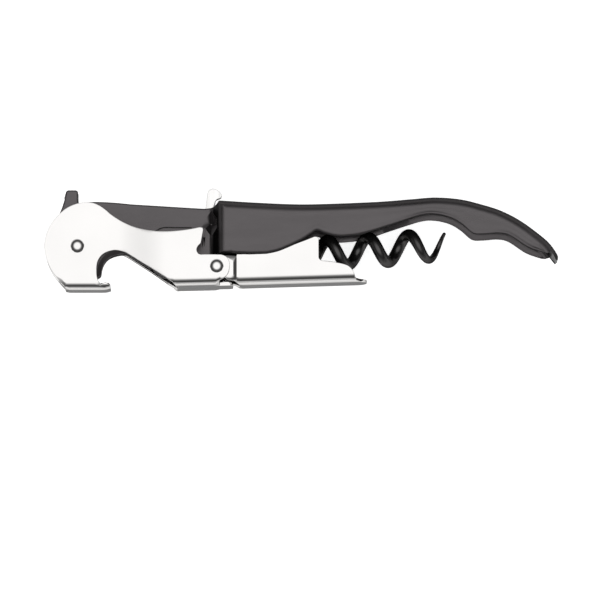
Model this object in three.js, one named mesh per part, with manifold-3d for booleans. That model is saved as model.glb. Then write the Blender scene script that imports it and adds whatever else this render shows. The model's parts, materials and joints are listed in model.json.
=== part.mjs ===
// Waiter's corkscrew with a two-step lever, closed and lying on its side.
//
// Millimetres. +X runs along the tool from its head to the tail of the handle, +Y from the
// lever side to the spine of the handle, +Z up and across the tool. Every hinge turns about Z.
// The pieces are drawn about the main rivet and then moved together, so that the origin ends
// up below the middle of the closed tool.

import * as THREE from "three";
import { mergeVertices } from "three/addons/utils/BufferGeometryUtils.js";
import Module from "manifold-3d";

const wasm = await Module();
wasm.setup();

// Driving dimensions. Widths across the tool are half widths, measured from its mid-plane.
const stepPivot = { x: 32.43, y: -5.0 };
const wormPivot = { x: 21.2, y: -2.6 };

const headInner = 1.3;
const headOuter = 2.7;
const headRadius = 7.6;
const handleOuter = 6.5;
const handleWall = 0.85;
const spineBend = 2.2;
const gripRim = 0.5;
const handleFront = 33.2;
const hornTop = 13.25;

const leverSheet = 1.0;
const leverBend = 2.0;
const leverAtHead = 4.35;
const leverAtFork = 7.1;
const leverDisc = 7.73;
const footBottom = -10.24;
const leverWebBottom = -9.4;
const tongueHalf = 3.7;

const bootOuter = 5.4;
const bootEarOuter = 5.85;
const bootSheet = 0.75;
const bootBend = 2.4;
const bootLip = 56.1;
const bootTip = 67.3;
const bootBottom = -9.22;
const bootEarRadius = 2.75;

const pinRadius = 1.0;
const holeRadius = 1.25;
const rivetHeadRadius = 1.52;
const rivetDome = 0.92;
const rivetGap = 0.05;
const washerRadius = 3.2;
const washerThickness = 0.35;
const wormWasherRadius = 4.1;
const wormWasherThickness = 0.45;

const knifeHalf = 1.0;
const knifeEdgeHalf = 0.2;
const tabTop = 13.9;

const wormHubHalf = 1.0;
const wormAxis = 0.04;
const wormLean = 0.07;
const wormShank = -2.75;
const wormWire = 1.35;
const wormTipWire = 0.4;
const wormTipFlare = 0.57;
const wormOuter = 4.4;
const wormPitch = 9.45;
const wormStart = 36.5;
const wormEnd = 85.4;

const tailEnd = 112.3;

// ---------------------------------------------------------------- outlines and solids

// A closed outline through [x, y, radius] corners; a corner with a radius is rounded by an arc.
function outline(corners) {
  const shape = new THREE.Shape();
  corners.forEach(([x, y, radius = 0], i) => {
    const corner = new THREE.Vector2(x, y);
    const before = new THREE.Vector2(...corners.at(i - 1).slice(0, 2)).sub(corner).normalize();
    const after = new THREE.Vector2(...corners[(i + 1) % corners.length].slice(0, 2)).sub(corner).normalize();
    const draw = i === 0 ? "moveTo" : "lineTo";
    if (radius === 0) {
      shape[draw](x, y);
      return;
    }
    const half = Math.acos(THREE.MathUtils.clamp(before.dot(after), -1, 1)) / 2;
    const start = corner.clone().addScaledVector(before, radius / Math.tan(half));
    const end = corner.clone().addScaledVector(after, radius / Math.tan(half));
    const middle = before.clone().add(after).normalize();
    const centre = corner.clone().addScaledVector(middle, radius / Math.sin(half));
    const from = Math.atan2(start.y - centre.y, start.x - centre.x);
    const to = Math.atan2(end.y - centre.y, end.x - centre.x);
    shape[draw](start.x, start.y);
    shape.absarc(centre.x, centre.y, radius, from, to, before.cross(after) > 0);
  });
  shape.closePath();
  return shape;
}

function solid(geometry) {
  const bare = geometry.clone();
  bare.deleteAttribute("normal");
  bare.deleteAttribute("uv");
  const merged = mergeVertices(bare, 1e-4);
  return new wasm.Manifold(new wasm.Mesh({
    numProp: 3,
    vertProperties: merged.attributes.position.array,
    triVerts: new Uint32Array(merged.index.array),
  }));
}

function unite(...solids) {
  return solids.reduce((all, next) => all.add(next));
}

// A side outline, drawn in X and Y, as a plate between two heights. A round rim is set
// inward from the outline, on both faces.
function plate(shape, from, to, rim = 0, curveSegments = 4) {
  const geometry = new THREE.ExtrudeGeometry(shape, {
    depth: to - from - 2 * rim,
    curveSegments,
    bevelEnabled: rim > 0,
    bevelThickness: rim,
    bevelSize: rim,
    bevelOffset: -rim,
    bevelSegments: 3,
  });
  geometry.translate(0, 0, from + rim);
  return solid(geometry);
}

// A plan outline, drawn in X and Z, as a prism that runs from one Y to another.
function prism(shape, from, to) {
  const geometry = new THREE.ExtrudeGeometry(shape, { depth: to - from, curveSegments: 4, bevelEnabled: false });
  geometry.rotateX(Math.PI / 2);
  geometry.translate(0, to, 0);
  return solid(geometry);
}

// A cross-section, drawn in Z and Y, as a bar that runs from one X to another.
function bar(shape, from, to) {
  const geometry = new THREE.ExtrudeGeometry(shape, { depth: to - from, curveSegments: 4, bevelEnabled: false });
  geometry.rotateY(Math.PI / 2);
  geometry.translate(from, 0, 0);
  return solid(geometry);
}

function pin(centre, radius, from, to, sides = 20) {
  const geometry = new THREE.CylinderGeometry(radius, radius, to - from, sides);
  geometry.rotateX(Math.PI / 2);
  geometry.translate(centre.x, centre.y, (from + to) / 2);
  return solid(geometry);
}

function mesh(name, manifold, finish) {
  const { vertProperties, triVerts } = manifold.getMesh();
  const geometry = new THREE.BufferGeometry();
  geometry.setAttribute("position", new THREE.BufferAttribute(vertProperties, 3));
  geometry.setIndex(new THREE.BufferAttribute(triVerts, 1));
  const result = new THREE.Mesh(geometry, new THREE.MeshStandardMaterial(finish));
  result.name = name;
  return result;
}

const blackEnamel = { color: 0x1c1c1e, roughness: 0.42, metalness: 0.1 };
const brightPlate = { color: 0xe6e7ea, roughness: 0.12, metalness: 1.0 };
const blackCoating = { color: 0x202024, roughness: 0.3, metalness: 0.2 };
const groundSteel = { color: 0xb9bcc2, roughness: 0.28, metalness: 1.0 };

const mainPivot = { x: 0, y: 0 };

// ---------------------------------------------------------------- body

const spineTop = [
  [33.1, 10.6], [42.4, 10.04], [51.75, 9.69], [61.1, 9.9], [70.4, 10.32], [77.5, 10.88],
  [83.2, 11.3], [89, 10.86], [93.7, 9.74], [98.3, 8.28], [103, 5.85], [107.6, 2.47],
  [110, 0.24], [112.1, -2.85], [113.7, -5.6],
];

// Finger grips: two waves on each side of a small peak, then the long hollow and the tail.
const gripFront = [[47.1, -1.25], [51.75, 0.85], [54.6, 2.65]];
const gripPeak = [55.9, 3.3];
const gripBack = [
  [57.6, 2.6], [60.4, 1.95], [63.2, 2.03], [65.7, 2.4], [69.5, 3.45], [72.7, 4.55], [79.7, 6.85], [83.2, 7.16],
  [86.7, 6.38], [89.3, 4.86], [91.9, 2.7], [94.4, 2.5], [98, 2.74], [100.6, 2.12],
  [104.6, -0.48], [108.3, -1.82], [110, -1.23],
];

function vectors(points) {
  return points.map(([x, y]) => new THREE.Vector2(x, y));
}

function spineProfile(drop, front, floor) {
  const shape = new THREE.Shape();
  const line = vectors(spineTop).map((point, i, all) => {
    const along = all[Math.min(i + 1, all.length - 1)].clone().sub(all[Math.max(i - 1, 0)]).normalize();
    return new THREE.Vector2(point.x + along.y * drop, point.y - along.x * drop);
  });
  line[0].x = front;
  shape.moveTo(front, floor);
  shape.lineTo(front, line[0].y);
  shape.splineThru(line.slice(1));
  shape.lineTo(line.at(-1).x, floor);
  shape.closePath();
  return shape;
}

function gripProfile() {
  const shape = new THREE.Shape();
  shape.moveTo(30.7, -2.0);
  shape.lineTo(handleFront + 0.3, -2.0);
  shape.lineTo(35.8, -2.0);
  shape.lineTo(40, -2.15);
  shape.lineTo(44, -2.0);
  shape.splineThru(vectors(gripFront));
  shape.quadraticCurveTo(55.3, 3.3, ...gripPeak);
  shape.splineThru(vectors(gripBack));
  shape.lineTo(110.5, -2.2);
  shape.absarc(111.3, -3.0, 0.8, Math.PI, 1.75 * Math.PI, false);
  shape.lineTo(120, 5);
  shape.lineTo(120, 30);
  shape.lineTo(handleFront - 0.1, 30);
  shape.lineTo(handleFront - 0.1, 10.9);
  shape.quadraticCurveTo(32.5, 9.3, 30.7, 8.9);
  shape.closePath();
  return shape;
}

// The plan of the body on both sides of the mid-plane: a narrow head that spreads at the neck,
// straight sides and a bowed tail.
function bodyPlan(front, lean, inner, outer, neckRadius, cornerRadius, end) {
  const side = [
    [-20, inner], [front - lean, inner, neckRadius], [front, outer, cornerRadius],
    [end, outer, 1.2], [end + 2.2, outer * 0.5, 6],
  ];
  return outline([...side, ...side.map(([x, z, radius]) => [x, -z, radius]).reverse()]);
}

function headOutline() {
  const shape = new THREE.Shape();
  const hornFoot = THREE.MathUtils.degToRad(127);
  const chin = THREE.MathUtils.degToRad(-78);
  shape.absarc(0, 0, headRadius, hornFoot, chin, false);
  shape.lineTo(4.6, -7.1);
  shape.quadraticCurveTo(5.4, -6.9, 5.5, -6.2);
  shape.quadraticCurveTo(5.7, -3.4, 7.6, -2.35);
  shape.quadraticCurveTo(9.3, -1.5, 11.3, -1.6);
  shape.lineTo(12.1, -1.85);
  shape.lineTo(16.9, -4.75);
  shape.absarc(wormPivot.x, wormPivot.y, 4.4, Math.PI * 1.15, Math.PI * 1.8, false);
  shape.quadraticCurveTo(26.6, -3.4, 29.4, -2.3);
  shape.lineTo(handleFront + 0.2, -2.0);
  shape.lineTo(handleFront + 0.2, 10.2);
  shape.quadraticCurveTo(32.3, 9.0, 29.2, 8.92);
  shape.lineTo(12.2, 9.97);
  shape.quadraticCurveTo(4.2, 10.9, 0.4, 10.25);
  shape.quadraticCurveTo(0.07, 10.3, 0.07, 10.7);
  shape.lineTo(0.07, hornTop - 0.7);
  shape.quadraticCurveTo(0.07, hornTop, -0.6, hornTop);
  shape.lineTo(-2.1, hornTop);
  shape.quadraticCurveTo(-2.7, hornTop, -2.8, 12.6);
  shape.quadraticCurveTo(-3.1, 10.3, -4.3, 7.6);
  shape.closePath();
  return shape;
}

// Star-shaped dimple where one of the flat head plates starts to spread into the handle.
function dimple() {
  return plate(outline([
    [28.0, 5.3, 0.2], [29.8, 6.1, 0.3], [31.1, 7.7, 0.2], [31.3, 6.2, 0.3], [34.4, 5.3],
    [31.3, 4.5, 0.3], [31.1, 3.0, 0.2], [29.8, 4.5, 0.3],
  ]), headInner + 0.4, 4.4);
}

function body() {
  const innerHalf = handleOuter - handleWall;
  const sides = bodyPlan(handleFront, 1.9, headOuter, handleOuter, 1.5, 2.3, tailEnd - 2);
  const hollow = bodyPlan(handleFront + 0.95, 1.7, headInner, innerHalf, 1.0, 1.6, tailEnd + 10);
  const shell = plate(spineProfile(0, handleFront - 6, -15), -handleOuter, handleOuter, spineBend)
    .intersect(plate(gripProfile(), -handleOuter, handleOuter, gripRim));
  const head = plate(headOutline(), -headOuter, headOuter);
  const outside = unite(shell, head).intersect(prism(sides, -30, 30));
  const underSpine = spineProfile(handleWall, handleFront - 10, -30);
  const inside = plate(underSpine, -innerHalf, innerHalf, spineBend - handleWall)
    .intersect(prism(hollow, -30, 30));
  const slot = plate(outline([[-20, -20], [32.5, -20], [32.5, 30], [-20, 30]]), -headInner, headInner);
  const hornTie = plate(outline([[-3.3, 11.1, 0.4], [0.07, 11.1], [0.07, hornTop, 0.7], [-2.7, hornTop, 0.6]]),
    -headInner - 0.2, headInner + 0.2);
  return unite(outside.subtract(inside).subtract(slot), hornTie)
    .subtract(dimple())
    .subtract(pin(mainPivot, holeRadius, -8, 8))
    .subtract(pin(wormPivot, holeRadius, -8, 8));
}

// ---------------------------------------------------------------- lever, first step

function leverSide() {
  const shape = new THREE.Shape();
  shape.moveTo(-2.8, footBottom);
  shape.lineTo(-3.1, -9.0);
  shape.lineTo(-4.9, -7.25);
  shape.quadraticCurveTo(-7.5, -4.1, -leverDisc, -0.2);
  shape.quadraticCurveTo(-7.7, 4.9, -2.9, 8.6);
  shape.quadraticCurveTo(0.0, 10.5, 3.1, 10.15);
  shape.quadraticCurveTo(5.2, 9.8, 7.5, 7.56);
  shape.quadraticCurveTo(12.0, 4.1, 16.8, 3.44);
  shape.quadraticCurveTo(21.6, 2.6, 27.6, 3.83);
  shape.quadraticCurveTo(29.6, 4.4, 29.2, 3.0);
  shape.lineTo(28.75, 0.5);
  shape.quadraticCurveTo(28.6, 0.05, 28.2, -0.2);
  shape.quadraticCurveTo(27.3, -1.3, 28.2, -2.15);
  shape.quadraticCurveTo(28.4, -2.34, 28.8, -2.34);
  shape.lineTo(33.3, -2.34);
  shape.quadraticCurveTo(35.45, -2.6, 35.45, -4.8);
  shape.quadraticCurveTo(35.3, -7.6, 33.6, -8.0);
  shape.lineTo(33.0, -8.1);
  shape.lineTo(33.0, leverWebBottom + 0.12);
  shape.lineTo(24.1, leverWebBottom - 0.1);
  shape.quadraticCurveTo(22.4, -8.9, 21.2, -8.0);
  shape.lineTo(16.8, -5.05);
  shape.lineTo(11.9, -2.0);
  shape.quadraticCurveTo(10.3, -1.0, 8.6, -1.02);
  shape.quadraticCurveTo(4.3, -1.5, 4.5, -5.7);
  shape.quadraticCurveTo(4.8, -8.0, 5.4, -8.75);
  shape.quadraticCurveTo(6.3, -8.55, 7.4, -8.95);
  shape.quadraticCurveTo(8.0, -9.4, 7.5, footBottom);
  shape.closePath();
  return shape;
}

// The band in plan that one arm follows: close to the head at the main rivet and spread at the fork.
function armBand(side) {
  const inner = leverAtHead - leverSheet;
  const shape = new THREE.Shape();
  const spread = leverAtFork - leverAtHead;
  shape.moveTo(-10, side * leverAtHead);
  shape.lineTo(7.5, side * leverAtHead);
  shape.bezierCurveTo(14.5, side * leverAtHead, 14.5, side * leverAtFork, 25, side * leverAtFork);
  shape.lineTo(40, side * leverAtFork);
  shape.lineTo(40, side * (leverAtFork - leverSheet));
  shape.lineTo(25.3, side * (inner + spread));
  shape.bezierCurveTo(15, side * (inner + spread), 15, side * inner, 7.2, side * inner);
  shape.lineTo(-10, side * inner);
  shape.closePath();
  return prism(shape, -12, 12);
}

// A U-shaped section, drawn in Z and Y, with both bends round.
function channel(halfWidth, sheet, bottom, top, bend) {
  const inner = halfWidth - sheet;
  return outline([
    [-halfWidth, top], [-halfWidth, bottom, bend], [halfWidth, bottom, bend], [halfWidth, top],
    [inner, top], [inner, bottom + sheet, bend - sheet], [-inner, bottom + sheet, bend - sheet], [-inner, top],
  ]);
}

// What is left outside a pair of round bends, as a cutter.
function bendCutter(halfWidth, bottom, bend, from, to) {
  const far = 10;
  const top = bottom + bend;
  const block = outline([[-far, bottom - far], [far, bottom - far], [far, top], [-far, top]]);
  const kept = outline([
    [-halfWidth, top + 1], [-halfWidth, bottom, bend], [halfWidth, bottom, bend], [halfWidth, top + 1],
  ]);
  return bar(block, from, to).subtract(bar(kept, from, to));
}

function leverFirstStep() {
  const side = plate(leverSide(), -leverAtFork, leverAtFork);
  const footFrom = -4;
  const footTo = 9;
  const webFrom = 20;
  const webTo = 34;
  const arms = unite(armBand(1), armBand(-1));
  const foot = bar(channel(leverAtHead, leverSheet, footBottom, -7.5, leverBend), footFrom, footTo);
  const web = bar(channel(leverAtFork, leverSheet, leverWebBottom - 0.08, -7.2, leverBend), webFrom, webTo);
  const bent = unite(arms, foot, web).intersect(side)
    .subtract(bendCutter(leverAtHead, footBottom, leverBend, footFrom, footTo))
    .subtract(bendCutter(leverAtFork, leverWebBottom - 0.1, leverBend, webFrom, webTo));
  const tongue = prism(outline([
    [28, -tongueHalf], [36.2, -tongueHalf, 1.2], [36.2, tongueHalf, 1.2], [28, tongueHalf],
  ]), leverWebBottom + 0.1, leverWebBottom + 1.02);
  return unite(bent, tongue)
    .subtract(pin(mainPivot, holeRadius, -10, 10))
    .subtract(pin(stepPivot, holeRadius, -10, 10));
}

// ---------------------------------------------------------------- boot, second step

function bootSide() {
  const shape = new THREE.Shape();
  const { x, y } = stepPivot;
  shape.absarc(x, y, bootEarRadius, Math.PI * 0.42, Math.PI * 1.69, false);
  shape.lineTo(35.0, -7.95);
  shape.lineTo(36.3, -8.1);
  shape.lineTo(37.0, -8.4);
  shape.lineTo(37.7, bootBottom);
  shape.lineTo(bootTip, bootBottom + 0.86);
  shape.lineTo(bootTip, -7.4);
  shape.lineTo(65.1, -7.5);
  shape.quadraticCurveTo(64.6, -7.4, 64.5, -6.9);
  shape.quadraticCurveTo(64.0, -5.2, 62.6, -4.6);
  shape.lineTo(59.9, -3.95);
  shape.lineTo(57.4, -3.7);
  shape.quadraticCurveTo(bootLip, -3.5, bootLip, -2.6);
  shape.lineTo(bootLip, 1.4);
  shape.quadraticCurveTo(bootLip, 2.1, 55.1, 2.03);
  shape.lineTo(52.7, 1.07);
  shape.lineTo(49.7, 0.0);
  shape.lineTo(47.5, -0.7);
  shape.lineTo(38.2, -1.55);
  shape.quadraticCurveTo(37.2, -1.7, 36.9, -2.4);
  shape.closePath();
  return shape;
}

function bootBand(side) {
  const inner = bootOuter - bootSheet;
  const earInner = bootEarOuter - bootSheet;
  return prism(outline([
    [25, side * bootEarOuter], [35.9, side * bootEarOuter], [37.1, side * bootOuter], [70, side * bootOuter],
    [70, side * inner], [37.1, side * inner], [35.9, side * earInner], [25, side * earInner],
  ]), -12, 5);
}

function bootSecondStep() {
  const slope = Math.atan2(0.77, 26.2);
  const far = 12;
  const floor = bar(channel(bootOuter, bootSheet, bootBottom, -6.5, bootBend), 37.2, 70)
    .translate([-37.8, -bootBottom, 0]).rotate([0, 0, THREE.MathUtils.radToDeg(slope)]).translate([37.8, bootBottom, 0]);
  const cut = bendCutter(bootOuter, 0, bootBend, 30, 75)
    .translate([-37.8, 0, 0]).rotate([0, 0, THREE.MathUtils.radToDeg(slope)]).translate([37.8, bootBottom, 0]);
  const tip = prism(outline([
    [25, -far], [bootTip - 3.4, -far], [bootTip - 3.4, -bootOuter], [bootTip, -bootOuter, 3.3],
    [bootTip, bootOuter, 3.3], [bootTip - 3.4, bootOuter], [bootTip - 3.4, far], [25, far],
  ]), -14, 6);
  return unite(bootBand(1), bootBand(-1), floor)
    .intersect(plate(bootSide(), -bootEarOuter, bootEarOuter))
    .intersect(tip)
    .subtract(cut)
    .subtract(pin(stepPivot, holeRadius, -8, 8));
}

// ---------------------------------------------------------------- worm

class WormLine extends THREE.Curve {
  constructor(radius) {
    super();
    this.radius = radius;
    this.turns = (wormEnd - wormStart) / wormPitch;
  }

  getPoint(t, target = new THREE.Vector3()) {
    const crest = 67.45;
    const x = THREE.MathUtils.lerp(wormStart, wormEnd, t);
    const angle = (2 * Math.PI * (x - crest)) / wormPitch;
    const grow = THREE.MathUtils.smoothstep(x, wormStart - 0.5, wormStart + 4.5);
    const flare = wormTipFlare * THREE.MathUtils.smoothstep(x, wormEnd - 5, wormEnd);
    const radius = this.radius * grow + flare;
    const axis = wormAxis + wormLean * (x - 77.5);
    return target.set(x, axis + radius * Math.cos(angle), radius * Math.sin(angle));
  }
}

// The coil, with its last turn drawn down to a blunt tip: each ring of the tube shrinks about its centre.
function wormHelix() {
  const line = new WormLine(wormOuter - wormWire);
  const steps = Math.round(line.turns * 18);
  const section = new THREE.Shape();
  section.absarc(0, 0, wormWire, 0, 2 * Math.PI, false);
  const geometry = new THREE.ExtrudeGeometry(section, {
    steps, curveSegments: 4, bevelEnabled: false, extrudePath: line,
  });
  const centres = line.getSpacedPoints(steps);
  const taperFrom = wormEnd - 8;
  const taperDepth = 1 - wormTipWire / wormWire;
  const place = geometry.attributes.position;
  const point = new THREE.Vector3();
  for (let i = 0; i < place.count; i++) {
    point.fromBufferAttribute(place, i);
    const gaps = centres.map((centre) => centre.distanceToSquared(point));
    const centre = centres[gaps.indexOf(Math.min(...gaps))];
    const taper = THREE.MathUtils.clamp((centre.x - taperFrom) / (wormEnd - taperFrom), 0, 1);
    point.sub(centre).multiplyScalar(1 - taperDepth * taper ** 1.3).add(centre);
    place.setXYZ(i, point.x, point.y, point.z);
  }
  return solid(geometry);
}

function worm() {
  const { x, y } = wormPivot;
  const flat = new THREE.Shape();
  flat.absarc(x, y, 2.9, Math.PI / 2, Math.PI * 1.5, false);
  flat.lineTo(29.9, y - 2.9);
  flat.quadraticCurveTo(30.7, y - 2.8, 31.0, -4.6);
  flat.quadraticCurveTo(31.4, -3.55, 32.6, -3.5);
  flat.lineTo(34.6, wormShank - 1.15);
  flat.lineTo(37.0, wormShank - 1.05);
  flat.lineTo(37.0, wormShank + 1.05);
  flat.lineTo(34.6, wormShank + 1.3);
  flat.quadraticCurveTo(31, y + 2.9, 28, y + 2.9);
  flat.closePath();
  const shank = new THREE.CylinderGeometry(wormWire, wormWire, 3.2, 12);
  shank.rotateZ(Math.PI / 2);
  shank.translate(35.9, wormShank, 0);
  return unite(plate(flat, -wormHubHalf, wormHubHalf), solid(shank), wormHelix())
    .subtract(pin(wormPivot, holeRadius, -5, 5));
}

// ---------------------------------------------------------------- knife

function knifeOutline() {
  const shape = new THREE.Shape();
  shape.absarc(0, 0, 3.6, Math.PI * 0.56, Math.PI * 1.62, false);
  shape.quadraticCurveTo(5.5, -1.4, 9.0, 2.2);
  shape.lineTo(20.0, 3.0);
  shape.quadraticCurveTo(25.6, 3.5, 28.2, 7.3);
  shape.quadraticCurveTo(28.9, 8.2, 31.2, 8.3);
  shape.lineTo(31.9, 9.6);
  shape.quadraticCurveTo(31.9, 11.0, 32.6, 11.3);
  shape.quadraticCurveTo(33.9, 11.6, 33.5, 12.6);
  shape.quadraticCurveTo(32.6, tabTop, 31.5, tabTop);
  shape.quadraticCurveTo(30.3, tabTop, 30.1, 12.6);
  shape.lineTo(29.7, 8.8);
  shape.lineTo(26.4, 8.7);
  shape.quadraticCurveTo(25.6, 7.6, 24.4, 7.5);
  shape.closePath();
  return shape;
}

function knife() {
  const grind = bar(outline([
    [-knifeHalf, 40], [-knifeHalf, 5.4], [-knifeEdgeHalf, 2.0], [knifeEdgeHalf, 2.0], [knifeHalf, 5.4], [knifeHalf, 40],
  ]), 8, 40);
  const tang = bar(outline([[-knifeHalf, -10], [knifeHalf, -10], [knifeHalf, 40], [-knifeHalf, 40]]), -10, 8);
  return plate(knifeOutline(), -knifeHalf, knifeHalf)
    .intersect(unite(grind, tang))
    .subtract(pin(mainPivot, holeRadius, -5, 5));
}

// ---------------------------------------------------------------- rivets and washers

// A straight pin with a domed head on both ends, the heads resting just off the outer faces.
function rivet(centre, halfGrip) {
  const under = halfGrip + rivetGap;
  const profile = [[0, -under - rivetDome], [rivetHeadRadius * 0.55, -under - rivetDome * 0.9],
    [rivetHeadRadius * 0.9, -under - rivetDome * 0.5], [rivetHeadRadius, -under], [pinRadius, -under]];
  const mirrored = profile.map(([r, z]) => [r, -z]).reverse();
  const geometry = new THREE.LatheGeometry(vectors([...profile, ...mirrored]), 20);
  geometry.rotateX(Math.PI / 2);
  geometry.translate(centre.x, centre.y, 0);
  return solid(geometry);
}

function washer(centre, radius, thickness, from, side) {
  const ring = pin(centre, radius, from, from + thickness, 32).subtract(pin(centre, holeRadius, -10, 10));
  return side > 0 ? ring : ring.mirror([0, 0, 1]);
}

function mainWasher(side) {
  const from = (headOuter + leverAtHead - leverSheet - washerThickness) / 2;
  return washer(mainPivot, washerRadius, washerThickness, from, side);
}

function wormWasher(side) {
  return washer(wormPivot, wormWasherRadius, wormWasherThickness, headOuter + rivetGap, side);
}

// ---------------------------------------------------------------- assembly

const corkscrew = new THREE.Group();
corkscrew.add(
  mesh("body", body(), blackEnamel),
  mesh("lever_first_step", leverFirstStep(), brightPlate),
  mesh("boot_second_step", bootSecondStep(), brightPlate),
  mesh("worm", worm(), blackCoating),
  mesh("knife", knife(), groundSteel),
  mesh("main_rivet", rivet(mainPivot, leverAtHead), brightPlate),
  mesh("step_rivet", rivet(stepPivot, leverAtFork), brightPlate),
  mesh("worm_rivet", rivet(wormPivot, headOuter + rivetGap + wormWasherThickness), blackCoating),
  mesh("main_washer_upper", mainWasher(1), brightPlate),
  mesh("main_washer_lower", mainWasher(-1), brightPlate),
  mesh("worm_washer_upper", wormWasher(1), blackCoating),
  mesh("worm_washer_lower", wormWasher(-1), blackCoating),
);
corkscrew.position.set(-(tailEnd - leverDisc) / 2, -(tabTop + footBottom) / 2, leverAtFork + rivetGap + rivetDome);

export default corkscrew;
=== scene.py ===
"""Looks of the two-step waiter's corkscrew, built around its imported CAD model.

Pieces are drawn in millimetres about the main rivet, in the CAD model's own axes: +X to the tail
of the handle, +Y to its spine, +Z up and across the tool. place() brings them into the frame.
"""
import json
import math

import bmesh
import bpy
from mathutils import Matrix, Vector
from mathutils.geometry import delaunay_2d_cdt


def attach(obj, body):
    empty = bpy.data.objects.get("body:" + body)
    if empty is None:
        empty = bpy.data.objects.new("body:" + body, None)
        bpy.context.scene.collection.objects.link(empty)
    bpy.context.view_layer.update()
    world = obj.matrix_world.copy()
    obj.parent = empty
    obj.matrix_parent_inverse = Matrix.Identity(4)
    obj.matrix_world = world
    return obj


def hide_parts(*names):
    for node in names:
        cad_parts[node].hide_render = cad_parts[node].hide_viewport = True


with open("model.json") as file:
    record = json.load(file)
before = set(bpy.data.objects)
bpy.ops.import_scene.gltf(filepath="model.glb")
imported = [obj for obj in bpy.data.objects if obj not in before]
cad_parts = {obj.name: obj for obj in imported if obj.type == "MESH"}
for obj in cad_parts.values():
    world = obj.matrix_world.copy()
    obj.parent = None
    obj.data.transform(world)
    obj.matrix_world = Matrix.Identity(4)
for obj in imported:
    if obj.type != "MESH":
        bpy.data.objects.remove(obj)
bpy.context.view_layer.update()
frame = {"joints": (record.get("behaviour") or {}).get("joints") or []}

MM = 0.001
joints = {joint["name"]: Vector(joint["pos_m"]) for joint in frame["joints"]}
MAIN = joints["lever_hinge"]


def from_main(point):
    """A place in the frame, in millimetres from the main rivet."""
    return (point - MAIN) / MM


STEP = from_main(joints["boot_hinge"])
WORM = from_main(joints["worm_hinge"])

# Half widths across the tool, thicknesses of its sheets, and sizes of its rivets and washers.
HEAD_INNER = 1.3
HEAD_OUTER = 2.7
HANDLE_OUTER = 6.5
HANDLE_WALL = 0.85
LEVER_SHEET = 1.0
LEVER_AT_HEAD = 4.35
LEVER_AT_FORK = 7.1
BOOT_SHEET = 0.75
BOOT_OUTER = 5.4
BOOT_EAR = 5.85
RIVET_HEAD = 1.52
RIVET_DOME = 0.9
RIVET_SHOULDER = 0.45
RIVET_GAP = 0.05
PIN_HOLE = 1.1
MAIN_WASHER = 0.35
MAIN_WASHER_RADIUS = 3.2
WORM_WASHER = 0.45
WORM_WASHER_RADIUS = 4.1

# Between faces that meet at more than this many degrees, the shading has a sharp line.
SHARP_FROM = 27


# ---------------------------------------------------------------- outlines

class Outline:
    """A line drawn from point to point, with its curves cut into short chords."""

    def __init__(self, x, y, chord=0.3):
        self.points = [Vector((x, y))]
        self.chord = chord

    def line(self, *points):
        self.points += [Vector(point) for point in points]
        return self

    def _curve(self, place, length):
        count = max(3, math.ceil(length / self.chord))
        self.points += [place(i / count) for i in range(1, count + 1)]
        return self

    def curve(self, cx, cy, x, y):
        """A bend to (x, y), drawn toward (cx, cy)."""
        a, b, c = self.points[-1].copy(), Vector((cx, cy)), Vector((x, y))
        length = (b - a).length + (c - b).length
        return self._curve(lambda t: a * (1 - t) ** 2 + b * 2 * t * (1 - t) + c * t * t, length)

    def arc(self, cx, cy, radius, start, end):
        """An arc from one angle to another, in degrees."""
        centre = Vector((cx, cy))

        def place(t):
            angle = math.radians(start + (end - start) * t)
            return centre + radius * Vector((math.cos(angle), math.sin(angle)))
        self.points.append(place(0))
        return self._curve(place, radius * math.radians(abs(end - start)))

    def spline(self, *points):
        """A smooth line on from the last point through the given ones."""
        knots = [self.points[-1].copy()] + [Vector(point) for point in points]
        for i in range(len(knots) - 1):
            p0, p1 = knots[max(i - 1, 0)], knots[i]
            p2, p3 = knots[i + 1], knots[min(i + 2, len(knots) - 1)]
            v1, v2 = (p2 - p0) / 2, (p3 - p1) / 2

            def place(t, p1=p1, p2=p2, v1=v1, v2=v2):
                return (p1 * (2 * t ** 3 - 3 * t ** 2 + 1) + v1 * (t ** 3 - 2 * t ** 2 + t)
                        + p2 * (3 * t ** 2 - 2 * t ** 3) + v2 * (t ** 3 - t ** 2))
            self._curve(place, (p2 - p1).length)
        return self


def tidy_loop(points, closest=0.02):
    """The same closed loop, anticlockwise and without doubled points."""
    loop = []
    for point in points:
        if not loop or (point - loop[-1]).length > closest:
            loop.append(point)
    if (loop[0] - loop[-1]).length <= closest:
        loop.pop()
    area = sum(a.cross(b) for a, b in zip(loop, loop[1:] + loop[:1]))
    return loop if area > 0 else loop[::-1]


def circle(cx, cy, radius, count=40):
    turns = [2 * math.pi * i / count for i in range(count)]
    return [Vector((cx + radius * math.cos(turn), cy + radius * math.sin(turn))) for turn in turns]


def on_circle(radius, degrees):
    """A place on a circle about the main rivet."""
    turn = math.radians(degrees)
    return radius * math.cos(turn), radius * math.sin(turn)


def box(left, bottom, right, top):
    return [Vector(p) for p in ((left, bottom), (right, bottom), (right, top), (left, top))]


def both_halves(half):
    """A closed loop from its upper half, whose two ends lie next to the line it mirrors about."""
    return half + [Vector((p.x, -p.y)) for p in reversed(half)]


def pin_holes(x, middle):
    """The two holes of one pin in a flat pattern, each a distance from its middle line."""
    return [circle(x, side * middle, PIN_HOLE, 32) for side in (1, -1)]


def inset(loop, distance):
    """A closed anticlockwise loop moved to its inner side."""
    result = []
    for before, here, after in zip(loop[-1:] + loop[:-1], loop, loop[1:] + loop[:1]):
        a, b = (here - before).normalized(), (after - here).normalized()
        normal = Vector((-a.y - b.y, a.x + b.x))
        if normal.length < 1e-6:
            normal = Vector((-a.y, a.x))
        normal.normalize()
        stretch = max(0.5, normal.dot(Vector((-a.y, a.x))))
        result.append(here + normal * distance / stretch)
    return result


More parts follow.
